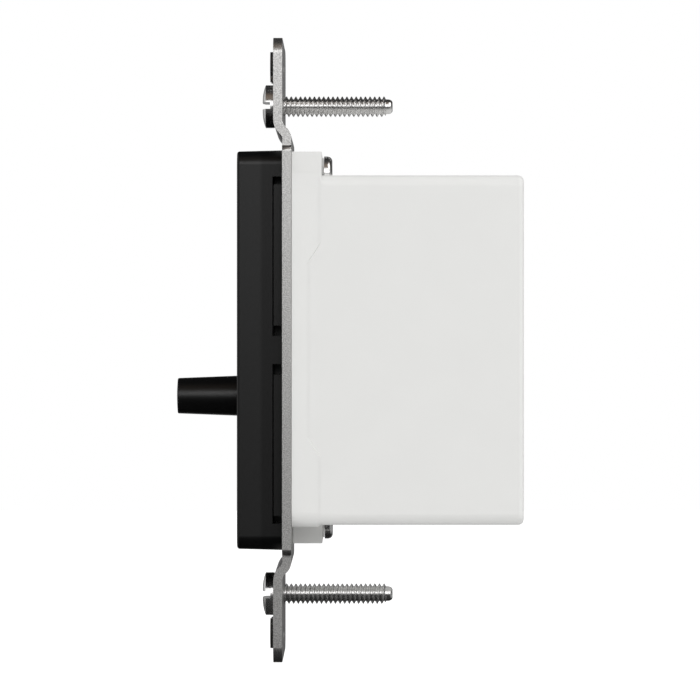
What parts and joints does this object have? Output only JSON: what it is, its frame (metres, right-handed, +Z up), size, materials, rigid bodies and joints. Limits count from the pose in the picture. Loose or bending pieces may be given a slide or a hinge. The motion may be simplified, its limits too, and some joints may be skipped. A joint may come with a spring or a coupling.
{
  "type": "dimmer slide switch",
  "caption": "Wall-box slide dimmer on a steel mounting strap: black front cover with a projecting sliding knob, pale moulded rear housing and long slotted mounting screws.",
  "frame": {"origin": "middle of the device in the plane of the wall, which is the back of the strap's ears", "axes": "+Z up the wall along the strap, +Y into the wall box, -Y towards the room, +X across the device"},
  "size_m": [0.0392, 0.0585, 0.1046],
  "materials": {
    "strap_steel": "fine grey plated steel",
    "bright_steel": "bright plated steel",
    "black_plastic": "satin black",
    "pale_plastic": "pale warm grey, satin",
    "tray_plastic": "brown insulating plastic",
    "carbon_track": "carbon",
    "brass": "plain brass",
    "earth_green": "green plated steel",
    "board_green": "green board",
    "winding_copper": "enamelled copper wire",
    "ferrite": "dull black",
    "film_blue": "blue moulded case",
    "resin_red": "red-brown dipped resin",
    "pad_grey": "grey insulating pad"
  },
  "bodies": {
    "base": {"mounting_strap": "strap_steel", "mounting_screw_top": "bright_steel", "mounting_screw_bottom": "bright_steel", "front_cover": "black_plastic", "guide_frame": "black_plastic", "pot_base": "tray_plastic", "resistive_track": "carbon_track", "collector_track": "brass", "line_strip": "brass", "load_strip": "brass", "rear_housing": "pale_plastic", "housing_screw_top": "bright_steel", "housing_screw_bottom": "bright_steel", "housing_washer_top": "pale_plastic", "housing_washer_bottom": "pale_plastic", "circuit_board": "board_green", "earth_terminal_plate": "brass", "earth_terminal_screw": "earth_green", "line_terminal_plate": "brass", "line_terminal_screw": "brass", "load_terminal_plate": "brass", "load_terminal_screw": "brass", "triac": "ferrite", "triac_pad": "pad_grey", "triac_rivet": "bright_steel", "choke_core": "ferrite", "choke_winding": "winding_copper", "film_capacitor": "film_blue", "timing_capacitor": "resin_red", "gate_resistor": "tray_plastic", "trigger_diac": "film_blue"},
    "slider": {"slider_knob": "black_plastic", "slider_carriage": "black_plastic", "wiper_carrier": "tray_plastic", "wiper_contact": "brass", "switch_bridge": "brass"}
  },
  "joints": [
    {"name": "dimmer_slide", "type": "slide", "parent": "base", "child": "slider", "axis": [0, 0, 1], "range_m": [-0.00722, 0.02278]}
  ]
}
